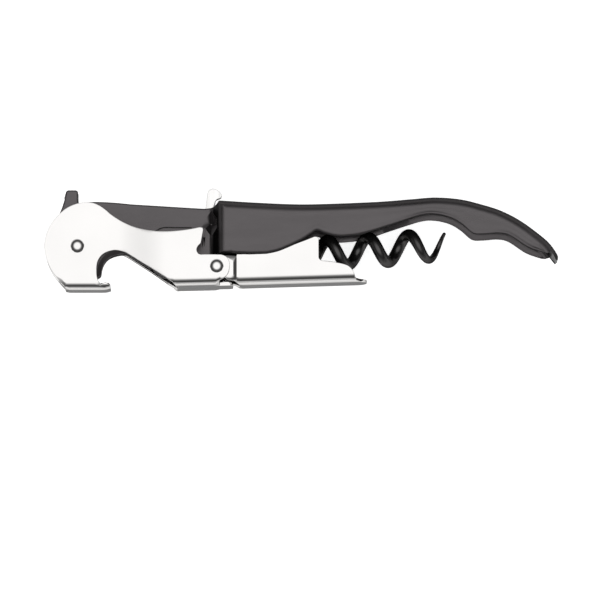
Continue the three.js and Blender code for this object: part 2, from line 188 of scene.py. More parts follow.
def inside(point, loop):
    hit = False
    for a, b in zip(loop, loop[1:] + loop[:1]):
        if (a.y > point.y) != (b.y > point.y):
            if point.x < a.x + (point.y - a.y) * (b.x - a.x) / (b.y - a.y):
                hit = not hit
    return hit


def smoothstep(value, low, high):
    t = min(1.0, max(0.0, (value - low) / (high - low)))
    return t * t * (3 - 2 * t)


# ---------------------------------------------------------------- meshes

def to_object(name, bm):
    bmesh.ops.recalc_face_normals(bm, faces=bm.faces)
    mesh = bpy.data.meshes.new(name)
    bm.to_mesh(mesh)
    bm.free()
    made = bpy.data.objects.new(name, mesh)
    bpy.context.scene.collection.objects.link(made)
    return made


def boolean(base, tool, operation):
    cut = base.modifiers.new("cut", "BOOLEAN")
    cut.operation = operation
    cut.solver = "MANIFOLD"
    cut.object = tool
    graph = bpy.context.evaluated_depsgraph_get()
    mesh = bpy.data.meshes.new_from_object(base.evaluated_get(graph))
    base.modifiers.clear()
    base.data = mesh
    bpy.data.objects.remove(tool)
    return base


def rings_to_solid(name, rings):
    """Closed rings of equal length, joined in order and capped at both ends."""
    bm = bmesh.new()
    rows = [[bm.verts.new(point) for point in ring] for ring in rings]
    for low, high in zip(rows, rows[1:]):
        for i in range(len(low)):
            j = (i + 1) % len(low)
            bm.faces.new((low[i], low[j], high[j], high[i]))
    bm.faces.new(rows[0][::-1])
    bm.faces.new(rows[-1])
    return to_object(name, bm)


def slab(name, points, low, high, rim=0.0, axis="Z", steps=6):
    """A prism of an outline between two heights along an axis, with a round rim if asked."""
    loop = tidy_loop(points)
    turns = [math.pi / 2 * i / steps for i in range(steps + 1)] if rim else [0.0]
    levels = [(rim * (1 - math.sin(turn)), low + rim * (1 - math.cos(turn))) for turn in turns]
    levels += [(back, low + high - level) for back, level in reversed(levels)]
    place = {
        "Z": lambda p, h: (p.x, p.y, h),
        "Y": lambda p, h: (p.x, h, p.y),
        "X": lambda p, h: (h, p.y, p.x),
    }[axis]
    rings = [[place(p, level) for p in (inset(loop, back) if back else loop)] for back, level in levels]
    return rings_to_solid(name, rings)


def lathe(name, profile, cx, cy, count=64):
    """A closed profile of (radius, height) pairs turned about a vertical axis."""
    bm = bmesh.new()
    rows = []
    for radius, height in profile:
        if radius == 0:
            rows.append([bm.verts.new((cx, cy, height))])
        else:
            rows.append([bm.verts.new((p.x, p.y, height)) for p in circle(cx, cy, radius, count)])
    pairs = list(zip(rows, rows[1:]))
    if profile[0][0] > 0:
        pairs.append((rows[-1], rows[0]))
    for low, high in pairs:
        for i in range(count):
            j = (i + 1) % count
            corners = [low[i % len(low)], low[j % len(low)], high[j % len(high)], high[i % len(high)]]
            bm.faces.new(list(dict.fromkeys(corners)))
    return to_object(name, bm)


def pressed_sheet(name, outer, holes, thickness, rim, surface, spacing, lines=(), columns=()):
    """Sheet metal cut to a flat pattern and pressed to shape.

    surface(u, v) gives the middle of the sheet in space for a place in the flat pattern. The cut
    edges have a small round rim. lines are extra rows (low v, high v, spacing) where it bends, and
    columns are places along u where it bends across.
    """
    outer = tidy_loop(outer)
    loops = [outer] + [tidy_loop(hole)[::-1] for hole in holes]
    half = thickness / 2
    quarter = [math.pi / 2 * i / 3 for i in range(4)]
    levels = [(rim * (1 - math.sin(turn)), -half + rim * (1 - math.cos(turn))) for turn in quarter]
    levels += [(back, -level) for back, level in reversed(levels)]

    def mapped(point, height):
        reach = 0.02
        middle = surface(point.x, point.y)
        along = surface(point.x + reach, point.y) - surface(point.x - reach, point.y)
        across = surface(point.x, point.y + reach) - surface(point.x, point.y - reach)
        return middle + along.cross(across).normalized() * height

    bm = bmesh.new()
    edge_rows = []
    for loop in loops:
        rows = [[bm.verts.new(mapped(p, level)) for p in inset(loop, back)] for back, level in levels]
        for low, high in zip(rows, rows[1:]):
            for i in range(len(low)):
                j = (i + 1) % len(low)
                bm.faces.new((low[i], low[j], high[j], high[i]))
        edge_rows.append(rows)

    rims = [inset(loop, rim) for loop in loops]
    flat = [point for loop in rims for point in loop]
    edges = []
    for loop in rims:
        base = len(edges)
        edges += [(base + i, base + (i + 1) % len(loop)) for i in range(len(loop))]
    guards = [inset(loop, rim + spacing * 0.45) for loop in loops]
    low = [min(p[k] for p in outer) for k in (0, 1)]
    high = [max(p[k] for p in outer) for k in (0, 1)]
    rows = []
    v = low[1] + spacing / 2
    while v < high[1]:
        if not any(a <= v <= b for a, b, _ in lines):
            rows.append(v)
        v += spacing
    for a, b, gap in lines:
        count = math.ceil((b - a) / gap)
        rows += [a + (b - a) * i / count for i in range(count + 1)]
    count = math.ceil((high[0] - low[0]) / spacing)
    along = [low[0] + (i + 0.5) * spacing for i in range(count)]
    if columns:
        along = [u for u in along if not columns[0] - spacing / 2 < u < columns[-1] + spacing / 2]
        along += columns
    for v in rows:
        for u in along:
            p = Vector((u, v))
            if inside(p, guards[0]) and not any(inside(p, guard) for guard in guards[1:]):
                flat.append(p)
    verts, _, faces, originals, _, _ = delaunay_2d_cdt(flat, edges, [], 0, 1e-5)
    faces = [face for face in faces if keep_face(face, verts, rims)]
    known = {}
    for i, sources in enumerate(originals):
        for source in sources:
            known[i] = source
    for side, height in ((0, -half), (-1, half)):
        border = [vert for rows in edge_rows for vert in rows[side]]
        made = {}
        for face in faces:
            corners = []
            for i in face:
                if i not in made:
                    source = known.get(i, len(border))
                    on_border = source < len(border)
                    made[i] = border[source] if on_border else bm.verts.new(mapped(verts[i], height))
                corners.append(made[i])
            bm.faces.new(corners if side else corners[::-1])
    return to_object(name, bm)


def keep_face(face, verts, rims):
    """Whether a face lies in the sheet, not in one of its holes or outside it."""
    centre = sum((verts[i] for i in face), Vector((0, 0))) / len(face)
    return inside(centre, rims[0]) and not any(inside(centre, rim) for rim in rims[1:])


def place(made, body, slot, material, *nodes):
    """Brings a piece into the frame, gives it its material and hides the CAD parts it stands for."""
    for vertex in made.data.vertices:
        vertex.co = Vector(vertex.co) * MM + MAIN
    made.data.materials.clear()
    made.data.materials.append(material)
    made.data.shade_smooth()
    made.data.set_sharp_from_angle(angle=math.radians(SHARP_FROM))
    weighted = made.modifiers.new("normals", "WEIGHTED_NORMAL")
    weighted.keep_sharp = True
    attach(made, body)
    if nodes:
        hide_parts(*nodes)
    return made


# ---------------------------------------------------------------- materials

def node_material(name, colour, metallic, roughness, bump, bump_size, rough_change,
                  streak=(1, 1, 1), colour_change=0.12, edge_tint=1.0, colour_left_in_painted_bend_shade=1.0):
    """A finish with fine unevenness in colour, gloss and height; sizes are in millimetres.

    edge_tint is how bright it stays at a grazing angle. The bend argument is painted shade: how much
    of its colour is left where the surface turns away from the tool's flat sides, darkening bends and
    edges.
    """
    material = bpy.data.materials.new(name)
    material.use_nodes = True
    tree = material.node_tree
    shader = tree.nodes["Principled BSDF"]
    shader.inputs["Metallic"].default_value = metallic
    shader.inputs["Specular IOR Level"].default_value = 0.5
    shader.inputs["Specular Tint"].default_value = (edge_tint, edge_tint, edge_tint, 1)
    where = tree.nodes.new("ShaderNodeTexCoord")
    stretch = tree.nodes.new("ShaderNodeMapping")
    stretch.inputs["Scale"].default_value = [s / MM for s in streak]
    tree.links.new(where.outputs["Object"], stretch.inputs["Vector"])

    def noise_map(size, detail):
        texture = tree.nodes.new("ShaderNodeTexNoise")
        texture.inputs["Scale"].default_value = 1 / size
        texture.inputs["Detail"].default_value = detail
        tree.links.new(stretch.outputs["Vector"], texture.inputs["Vector"])
        return texture.outputs["Fac"]

    def spread(source, low, high):
        ramp = tree.nodes.new("ShaderNodeMapRange")
        ramp.inputs["From Min"].default_value = 0.3
        ramp.inputs["From Max"].default_value = 0.7
        ramp.inputs["To Min"].default_value = low
        ramp.inputs["To Max"].default_value = high
        tree.links.new(source, ramp.inputs["Value"])
        return ramp.outputs["Result"]

    fine = noise_map(bump_size, 3)
    broad = noise_map(bump_size * 14, 2)
    tint = tree.nodes.new("ShaderNodeMix")
    tint.data_type = "RGBA"
    tint.inputs["A"].default_value = [*(c * (1 - colour_change) for c in colour), 1]
    tint.inputs["B"].default_value = [*(min(1, c * (1 + colour_change)) for c in colour), 1]
    tree.links.new(spread(broad, 0, 1), tint.inputs["Factor"])
    # Painted shade: the base colour is darkened on bends and edges, where the surface's normal turns
    # away from the flat sides.
    if colour_left_in_painted_bend_shade == 1.0:
        tree.links.new(tint.outputs["Result"], shader.inputs["Base Color"])
    else:
        split = tree.nodes.new("ShaderNodeSeparateXYZ")
        tree.links.new(where.outputs["Normal"], split.inputs["Vector"])
        level = tree.nodes.new("ShaderNodeMath")
        level.operation = "ABSOLUTE"
        tree.links.new(split.outputs["Z"], level.inputs[0])
        turned = tree.nodes.new("ShaderNodeMapRange")
        turned.inputs["From Min"].default_value = 0.55
        turned.inputs["From Max"].default_value = 0.93
        turned.inputs["To Min"].default_value = colour_left_in_painted_bend_shade
        turned.inputs["To Max"].default_value = 1.0
        tree.links.new(level.outputs["Value"], turned.inputs["Value"])
        darker = tree.nodes.new("ShaderNodeVectorMath")
        darker.operation = "SCALE"
        tree.links.new(tint.outputs["Result"], darker.inputs[0])
        tree.links.new(turned.outputs["Result"], darker.inputs["Scale"])
        tree.links.new(darker.outputs["Vector"], shader.inputs["Base Color"])
    rough = tree.nodes.new("ShaderNodeMath")
    rough.operation = "ADD"
    tree.links.new(spread(broad, roughness - rough_change, roughness + rough_change), rough.inputs[0])
    tree.links.new(spread(fine, -rough_change / 2, rough_change / 2), rough.inputs[1])
    tree.links.new(rough.outputs["Value"], shader.inputs["Roughness"])
    relief = tree.nodes.new("ShaderNodeBump")
    relief.inputs["Strength"].default_value = 1.0
    relief.inputs["Distance"].default_value = bump * MM
    tree.links.new(fine, relief.inputs["Height"])
    tree.links.new(relief.outputs["Normal"], shader.inputs["Normal"])
    return material


# The enamel's colour carries painted shade, darkened to 0.14 of itself on bends and edges.
ENAMEL = node_material("black_enamel", (0.085, 0.079, 0.081), metallic=0.78, roughness=0.33,
                       bump=0.006, bump_size=0.35, rough_change=0.05, streak=(0.2, 1, 1),
                       edge_tint=0.3, colour_left_in_painted_bend_shade=0.14)
CHROME = node_material("bright_chrome", (0.56, 0.552, 0.545), metallic=1.0, roughness=0.09,
                       bump=0.0012, bump_size=0.9, rough_change=0.03, colour_change=0.02,
                       edge_tint=0.15)
COATING = node_material("black_coating", (0.057, 0.055, 0.055), metallic=0.9, roughness=0.28,
                        bump=0.004, bump_size=0.2, rough_change=0.06, edge_tint=0.25)
STEEL = node_material("ground_steel", (0.56, 0.555, 0.55), metallic=1.0, roughness=0.2,
                      bump=0.003, bump_size=0.08, rough_change=0.06, streak=(1, 0.06, 1))


# ---------------------------------------------------------------- body

# The line of the spine, from the front of the handle to its tail.
SPINE = [(42.4, 10.04), (51.75, 9.69), (61.1, 9.9), (70.4, 10.32), (77.5, 10.88), (83.2, 11.3),
         (89, 10.86), (93.7, 9.74), (98.3, 8.28), (103, 5.85), (107.6, 2.47), (110, 0.24),
         (112.1, -2.85)]
FRONT = 33.2
TAIL = 112.3
SPINE_BEND = 2.2
GRIP_ROLL = 1.1
# Where the front end, cut from blocks, meets the lofted rest of the handle.
JOINED = 36.0
GROOVE_DEPTH = 1.1


def spine_line(chord):
    """The top of the handle in the side view."""
    return Outline(33.1, 10.6, chord).spline(*SPINE).points


def spine_profile(drop, front, floor):
    """The side view of the front end of the handle, its top lowered by drop."""
    top = [Vector((p.x, p.y - drop)) for p in spine_line(0.6) if FRONT < p.x < JOINED + 3]
    return [Vector((front, floor)), Vector((front, top[0].y)), *top, Vector((top[-1].x, floor))]


def grip_line():
    """The lower edge of the side walls: a rise to a small peak, a shallow dip, a hollow and the tail."""
    return (Outline(FRONT, -2.0, chord=0.25)
            .line((35.8, -2.0), (40, -2.15), (44, -2.0))
            .spline((47.1, -1.25), (51.75, 0.85), (54.6, 2.65))
            .curve(55.3, 3.3, 55.9, 3.3)
            .spline((57.6, 2.6), (60.4, 1.95), (63.2, 2.03), (65.7, 2.4), (69.5, 3.45),
                    (72.7, 4.55), (79.7, 6.8), (83.2, 7.1), (86.7, 6.3), (89.3, 4.8),
                    (91.9, 2.65), (94.4, 2.45), (98, 2.68), (100.6, 2.05), (104.6, -0.55),
                    (108.3, -1.86))
            .line((109.4, -1.85), (110.1, -1.32), (111.2, -2.95), (112.6, -5.2)).points)


def front_grip():
    """The side view of the handle's front end: its lower edge, and the corner above the neck."""
    return (Outline(30.7, -2.0)
            .line((FRONT, -2.0), (35.8, -2.0), (40, -2.15), (44, -2.0), (44, 30),
                  (FRONT - 0.1, 30), (FRONT - 0.1, 10.9))
            .curve(32.5, 9.3, 30.7, 8.9).points)


def rounded_polygon(corners):
    """An outline through (x, y, radius) corners, each rounded with its own radius."""
    drawn = None
    for i, (x, y, radius) in enumerate(corners):
        here = Vector((x, y))
        before = (Vector(corners[i - 1][:2]) - here).normalized()
        after = (Vector(corners[(i + 1) % len(corners)][:2]) - here).normalized()
        if radius == 0:
            drawn = drawn.line((x, y)) if drawn else Outline(x, y)
            continue
        half = before.angle(after) / 2
        start = here + before * radius / math.tan(half)
        end = here + after * radius / math.tan(half)
        centre = here + (before + after).normalized() * radius / math.sin(half)
        angles = [math.degrees(math.atan2(*(p - centre).yx)) for p in (start, end)]
        turn = (angles[1] - angles[0] + 180) % 360 - 180
        if drawn is None:
            drawn = Outline(*start)
        drawn.arc(*centre, radius, angles[0], angles[0] + turn)
    return drawn.points


def body_plan(front, lean, inner, outer, neck_radius, corner_radius, end):
    """The view from above: a narrow head, then shoulders out to the width of the handle."""
    side = [(-20, inner, 0), (front - lean, inner, neck_radius), (front, outer, corner_radius),
            (end, outer, 1.2), (end + 2.2, outer * 0.5, 6)]
    return rounded_polygon(side + [(x, -z, radius) for x, z, radius in reversed(side)])


def head_outline():
    """The side view of the two head plates, with the horn at their top left."""
    top = 13.25
    return (Outline(*on_circle(7.6, 127))
            .arc(0, 0, 7.6, 127, 282)
            .line((4.6, -7.1)).curve(5.4, -6.9, 5.5, -6.2)
            .curve(5.7, -3.4, 7.6, -2.35).curve(9.3, -1.5, 11.3, -1.6)
            .line((12.1, -1.85), (16.9, -4.75))
            .arc(WORM.x, WORM.y, 4.4, 207, 324)
            .curve(26.6, -3.4, 29.4, -2.3)
            .line((FRONT + 0.2, -2.0), (FRONT + 0.2, 10.2))
            .curve(32.3, 9.0, 29.2, 8.92)
            .line((12.2, 9.97)).curve(4.2, 10.9, 0.4, 10.25).curve(0.07, 10.3, 0.07, 10.7)
            .line((0.07, top - 0.7)).curve(0.07, top, -0.6, top)
            .line((-2.1, top)).curve(-2.7, top, -2.8, 12.6).curve(-3.1, 10.3, -4.3, 7.6).points)


def wall_section(depth, half, lip, crown, bevel):
    """One side of the U-shaped handle as (depth below the spine, distance from the middle) places.

    It goes out over the spine and down the outer face, rolls in at the lower edge, and comes back
    up the inner face, which is bevelled by a little near the edge.
    """
    bend = min(SPINE_BEND, half - 0.2)
    inner_bend = bend - HANDLE_WALL
    turn = math.acos(1 - min(1.0, depth / bend))
    section = [(0, 0), (0, (half - bend) / 2)]
    for i in range(11):
        angle = turn * i / 10
        section.append((bend * (1 - math.cos(angle)), half - bend + bend * math.sin(angle)))
    low, high = section[-1][0], max(section[-1][0] + 0.01, depth - lip)
    outside = section[-1][1]
    for i in range(1, 13):
        part = i / 12
        bulge = crown * (1 - part) ** 8 - crown * (2 * part - 1) ** 2
        section.append((low + (high - low) * part, outside + bulge))
    edge = section[-1][1]
    inner = half - HANDLE_WALL
    roll = min(lip, HANDLE_WALL * 0.85, edge - inner - bevel - 0.05)
    for i in range(1, 9):
        angle = math.pi / 2 * i / 8
        section.append((high + (depth - high) * math.sin(angle), edge - roll * (1 - math.cos(angle))))
    top = min(HANDLE_WALL + inner_bend, depth - 0.15)
    section.append((depth - 0.12, inner + bevel))
    start = max(top + 0.02, depth - 1.3)
    for i in range(5):
        section.append((start + (top - start) * i / 4, inner))
    for i in range(1, 7):
        angle = math.pi / 2 * i / 6
        section.append((top - (top - HANDLE_WALL) * math.sin(angle),
                        inner - inner_bend * (1 - math.cos(angle))))
    section.append((HANDLE_WALL, (half - bend) / 2))
    section.append((HANDLE_WALL, 0))
    return section


def handle_shell():
    """The sheet metal handle behind its front end, as sections set square to the line of its spine."""
    top = [p for p in spine_line(0.3) if p.x > JOINED - 1.6]
    grip = grip_line()
    least = HANDLE_WALL + 0.12
    rings = []
    for i, here in enumerate(top):
        along = (top[min(i + 2, len(top) - 1)] - top[max(i - 2, 0)]).normalized()
        down = Vector((along.y, -along.x))
        depth = least
        for a, b in zip(grip, grip[1:]):
            cross = down.cross(b - a)
            if abs(cross) > 1e-9:
                reach = (a - here).cross(b - a) / cross
                part = (a - here).cross(down) / cross
                if 0 <= part <= 1 and reach > 0:
                    depth = max(least, reach)
                    break
        lip = GRIP_ROLL - 0.62 * smoothstep(here.x, 56, 76)
        bevel = 0.3 * smoothstep(here.x, 72, 86) * smoothstep(depth, 1.5, 3.0)
        crown = 0.2 * smoothstep(here.x, JOINED, JOINED + 9) * smoothstep(depth, 1.5, 4.0)
        to_tail = (top[-1] - here).length
        half = HANDLE_OUTER - 1.9 * max(0.0, 1 - to_tail / 2.4) ** 2
        side = wall_section(depth, half, min(lip, depth * 0.4), crown, bevel)
        loop = [(d, z) for d, z in side] + [(d, -z) for d, z in reversed(side[1:-1])]
        rounding = 0.45 * max(0.0, 1 - to_tail / 0.7) ** 2
        loop = [(d + rounding * (1 - d / depth), z) for d, z in loop]
        rings.append([(here.x + down.x * d, here.y + down.y * d, z) for d, z in loop])
    made = rings_to_solid("handle_shell", rings)
    return boolean(made, slab("behind", box(JOINED, -20, 130, 30), -20, 20), "INTERSECT")


def pit(name, centre, corners, depth):
    """A hollow with flat sloping sides in the upper head plate, deepest at its centre."""
    rings = [[(centre[0] + x * size, centre[1] + y * size, height) for x, y in corners]
             for size, height in ((1.0, 5.0), (1.0, HEAD_OUTER), (0.05, HEAD_OUTER - depth))]
    return rings_to_solid(name, rings)


def lifter_chamfer(side):
    """The cutter that bevels one head plate, upper (1) or lower (-1), inside the cap lifter."""
    opening = (Outline(5.2, -7.6).line((5.5, -6.2))
               .curve(5.7, -3.4, 7.6, -2.35).curve(9.3, -1.5, 11.3, -1.6)
               .line((12.1, -1.85), (12.5, -5.0), (9.0, -7.6)).points)
    loop = tidy_loop(opening)
    levels = ((1.0, 5.0), (1.0, HEAD_OUTER), (0.0, HEAD_OUTER - 0.75), (0.0, HEAD_INNER - 0.3))
    rings = [[(p.x, p.y, side * height) for p in (inset(loop, -out) if out else loop)]
             for out, height in levels]
    return rings_to_solid("lifter_chamfer", rings)


def make_body():
    inner_half = HANDLE_OUTER - HANDLE_WALL
    made = slab("body_enamelled", spine_profile(0, FRONT - 6, -15), -HANDLE_OUTER, HANDLE_OUTER,
                rim=SPINE_BEND, steps=10)
    grips = slab("grips", front_grip(), -HANDLE_OUTER, HANDLE_OUTER, rim=GRIP_ROLL, steps=8)
    boolean(made, grips, "INTERSECT")
    boolean(made, slab("front_end", box(20, -20, JOINED, 30), -20, 20), "INTERSECT")
    boolean(made, slab("head", head_outline(), -HEAD_OUTER, HEAD_OUTER, rim=0.4, steps=5), "UNION")
    plan = body_plan(FRONT, 1.9, HEAD_OUTER, HANDLE_OUTER, 1.5, 2.3, TAIL - 2)
    boolean(made, slab("plan", plan, -30, 30, axis="Y"), "INTERSECT")

    hollow = slab("hollow", spine_profile(HANDLE_WALL, FRONT - 10, -30), -inner_half, inner_half,
                  rim=SPINE_BEND - HANDLE_WALL, steps=6)
    inner_plan = body_plan(FRONT + 0.95, 1.7, HEAD_INNER, inner_half, 1.0, 1.6, TAIL + 10)
    boolean(hollow, slab("inner_plan", inner_plan, -40, 40, axis="Y"), "INTERSECT")
    boolean(made, hollow, "DIFFERENCE")
    slot = box(-20, -20, 32.5, 30)
    boolean(made, slab("slot", slot, -HEAD_INNER, HEAD_INNER), "DIFFERENCE")
    # The two plates' ears are one piece at the top of the horn.
    tie = rounded_polygon([(-3.3, 11.1, 0.4), (0.07, 11.1, 0), (0.07, 13.25, 0.7), (-2.7, 13.25, 0.6)])
    boolean(made, slab("tie", tie, -HEAD_INNER - 0.2, HEAD_INNER + 0.2), "UNION")
    boolean(made, handle_shell(), "UNION")

    star = [(3.0, 0), (1.3, 1.2), (0, 3.1), (-1.4, 1.1), (-3.2, 0), (-1.4, -1.1), (0, -3.0),
            (1.3, -1.2)]
    crease = [(0.5, 2.2), (-0.45, 2.5), (-0.6, 0.3), (-0.35, -2.6), (0.1, -2.4), (0.35, 0)]
    boolean(made, pit("star", (31.1, 5.3), star, 1.2), "DIFFERENCE")
    boolean(made, pit("crease", (29.4, 2.2), crease, 0.38), "DIFFERENCE")
    for side in (1, -1):
        boolean(made, lifter_chamfer(side), "DIFFERENCE")
    groove = (Outline(18.6, 3.5).curve(19.3, 4.2, 20.6, 4.25)
              .line((26.6, 4.2), (26.6, 4.52), (20.6, 4.62)).curve(19.0, 4.55, 18.1, 3.6).points)
    floor = HEAD_OUTER - GROOVE_DEPTH
    boolean(made, slab("groove", groove, floor, 4), "DIFFERENCE")
    boolean(made, slab("groove_below", groove, -4, -floor), "DIFFERENCE")
    boolean(made, slab("main_hole", circle(0, 0, PIN_HOLE), -8, 8), "DIFFERENCE")
    boolean(made, slab("worm_hole", circle(WORM.x, WORM.y, PIN_HOLE), -8, 8), "DIFFERENCE")
    place(made, "handle", "black_enamel", ENAMEL, "body")


# ---------------------------------------------------------------- lever, first step

# The heights of the foot and of the web are of the middle of their sheet.
LEVER_BEND = 1.3
LEVER_RISE = 1.9
FOOT = -10.24 + LEVER_SHEET / 2
LEVER_WEB = -9.4 + LEVER_SHEET / 2
TONGUE_HALF = 3.7


def lever_half(x):
    """How far the middle of an arm's sheet is from the middle of the tool."""
    spread = smoothstep(x, 5.5, 25.0)
    return LEVER_AT_HEAD - LEVER_SHEET / 2 + (LEVER_AT_FORK - LEVER_AT_HEAD) * spread


def lever_floor(x):
    """The height of the foot, or of the web, which rises a little to the step rivet."""
    return FOOT if x < 14 else LEVER_WEB + (x - 30) * 0.024


def channel_point(x, t, half, floor, bend, rise):
    """A place on a U-shaped channel: t runs across it, from the middle of its floor.

    Its bends are quarters of an ellipse, bend wide along the floor and rise high up the side.
    """
    flat = half - bend
    side = 1 if t >= 0 else -1
    t = abs(t)
    if t <= flat:
        return Vector((x, floor, side * t))
    turn = (t - flat) / bend
    if turn <= math.pi / 2:
        return Vector((x, floor + rise * (1 - math.cos(turn)), side * (flat + bend * math.sin(turn))))
    return Vector((x, floor + rise + t - flat - bend * math.pi / 2, side * half))


def across(y, half, floor, bend, rise):
    """How far across the flat pattern of a channel the height y on its side lies."""
    flat = half - bend
    height = max(0.0, y - floor)
    if height < rise:
        return flat + bend * math.acos(1 - height / rise)
    return flat + bend * math.pi / 2 + height - rise


def lever_across(x, y):
    return across(y, lever_half(x), lever_floor(x), LEVER_BEND, LEVER_RISE)


def lever_surface(x, t):
    """The lever's sheet, with the lip of its foot turned up a little."""
    point = channel_point(x, t, lever_half(x), lever_floor(x), LEVER_BEND, LEVER_RISE)
    if x < 9 and abs(t) < 4:
        point.y += 0.28 * smoothstep(x, 6.0, 8.0)
    return point


def make_lever():
    upper = (Outline(-3.0, -9.2).line((-4.9, -7.25))
             .curve(-7.5, -4.1, -7.73, -0.2).curve(-7.7, 4.9, -2.9, 8.6)
             .curve(0.0, 10.5, 3.1, 10.15).curve(5.2, 9.8, 7.5, 7.56)
             .curve(12.0, 4.1, 16.8, 3.44).curve(21.6, 2.6, 27.6, 3.83)
             .curve(29.6, 4.4, 29.2, 3.0).line((28.75, 0.5)).curve(28.6, 0.05, 28.2, -0.2)
             .curve(27.3, -1.3, 28.2, -2.15).curve(28.4, -2.34, 28.8, -2.34)
             .line((33.3, -2.34)).curve(35.45, -2.6, 35.45, -4.8).curve(35.3, -7.6, 33.6, -7.9)
             .points)
    lower = (Outline(5.3, -8.9).line((4.8, -8.0))
             .curve(4.45, -7.0, 4.5, -5.7).curve(4.3, -1.5, 8.6, -1.02)
             .curve(10.3, -1.0, 11.9, -2.0).line((16.8, -5.05), (20.6, -7.6)).points)
    def flat(points):
        return [Vector((p.x, lever_across(p.x, p.y))) for p in points]
    tongue = (Outline(33.0, lever_across(33.0, -8.2)).line((33.0, TONGUE_HALF + 0.3))
              .curve(33.0, TONGUE_HALF, 33.3, TONGUE_HALF).line((35.2, TONGUE_HALF))
              .curve(36.2, TONGUE_HALF, 36.2, TONGUE_HALF - 1.0).points)
    outer_half = [Vector((-2.8, 1.5)), Vector((-2.8, 3.2))] + flat(upper) + tongue
    foot = Outline(7.7, 2.9).curve(7.7, 4.0, 6.7, 4.0).line((5.7, 4.0)).points
    web = (Outline(21.3, lever_across(21.3, -8.05)).line((22.2, 6.2))
           .curve(23.2, 5.2, 23.3, 4.2).line((23.3, 2.0)).points)
    holes = [both_halves([Vector((7.7, 1.5))] + foot + flat(lower) + web)]
    for x, y in ((0, 0), (STEP.x, STEP.y)):
        holes += pin_holes(x, lever_across(x, y))
    lines = [(1.9, 8.6, 0.25), (-8.6, -1.9, 0.25)]
    made = pressed_sheet("lever_first_step_plated", both_halves(outer_half), holes, LEVER_SHEET, 0.14,
                         lever_surface, 0.55, lines)
    place(made, "lever", "bright_chrome", CHROME, "lever_first_step")


# ---------------------------------------------------------------- boot, second step

BOOT_BEND = 1.9
BOOT_RISE = 2.3
# Where the sides step in from the ears to the channel.
JOGGLE = (36.15, 36.55, 36.95)


def boot_half(x):
    """How far the middle of a side's sheet is from the middle of the tool."""
    low, high = JOGGLE[0], JOGGLE[-1]
    step_in = min(1.0, max(0.0, (x - low) / (high - low)))
    return BOOT_EAR - BOOT_SHEET / 2 - (BOOT_EAR - BOOT_OUTER) * step_in


def boot_floor(x):
    return -9.22 + BOOT_SHEET / 2 + (x - 37.8) * 0.0294


def boot_across(x, y):
    return across(y, boot_half(x), boot_floor(x), BOOT_BEND, BOOT_RISE)


def boot_surface(x, t):
    return channel_point(x, t, boot_half(x), boot_floor(x), BOOT_BEND, BOOT_RISE)


def make_boot():
    side = Outline(64.9, -7.7).curve(64.6, -7.5, 64.5, -7.0).curve(64.0, -5.2, 62.6, -4.6)
    side.curve(61.4, -4.15, 59.9, -3.98)
    # A row of fine teeth along the top of the heel.
    for i in range(8):
        x, y = 59.9 - i * 0.31, -3.98 + i * 0.035
        side.line((x, y), (x - 0.1, y + 0.15), (x - 0.21, y + 0.15))
    side = (side.line((57.3, -3.68)).curve(56.1, -3.5, 56.1, -2.6)
            .line((56.1, 1.4)).curve(56.1, 2.1, 55.1, 2.03)
            .line((52.7, 1.07), (49.7, 0.0), (47.5, -0.7), (38.2, -1.55)).curve(37.2, -1.7, 36.9, -2.4)
            .arc(STEP.x, STEP.y, 2.75, 76, 304)
            .line((35.0, -7.95), (36.3, -8.1), (37.0, -8.4)).points)
    tip = Outline(67.3, 0.4).curve(67.3, 2.6, 64.95, 4.15).points
    half = tip + [Vector((p.x, boot_across(p.x, p.y))) for p in side]
    half += [Vector((37.7, 3.4)), Vector((37.7, 0.8))]
    holes = pin_holes(STEP.x, boot_across(STEP.x, STEP.y))
    lines = [(2.8, 6.6, 0.2), (-6.6, -2.8, 0.2)]
    made = pressed_sheet("boot_second_step_plated", both_halves(half), holes, BOOT_SHEET, 0.12,
                         boot_surface, 0.6, lines, JOGGLE)
    place(made, "boot", "bright_chrome", CHROME, "boot_second_step")


# ---------------------------------------------------------------- worm

WIRE = 1.35
WIRE_TIP = 0.4
HELIX_OUTER = 4.4
HELIX_PITCH = 9.45
HELIX_START = 36.5
HELIX_END = 85.4
TAPER_LENGTH = 8
# A place along the worm where its wire is at the top of a turn.
CREST = 67.45


def worm_centre(x):
    """The middle of the wire: a helix whose radius grows from its shank, and a little at its tip."""
    turn = 2 * math.pi * (x - CREST) / HELIX_PITCH
    radius = (HELIX_OUTER - WIRE) * smoothstep(x, HELIX_START - 0.5, HELIX_START + 4.5)
    radius += 0.57 * smoothstep(x, HELIX_END - 5, HELIX_END)
    return Vector((x, 0.04 + 0.07 * (x - 77.5) + radius * math.cos(turn), radius * math.sin(turn)))


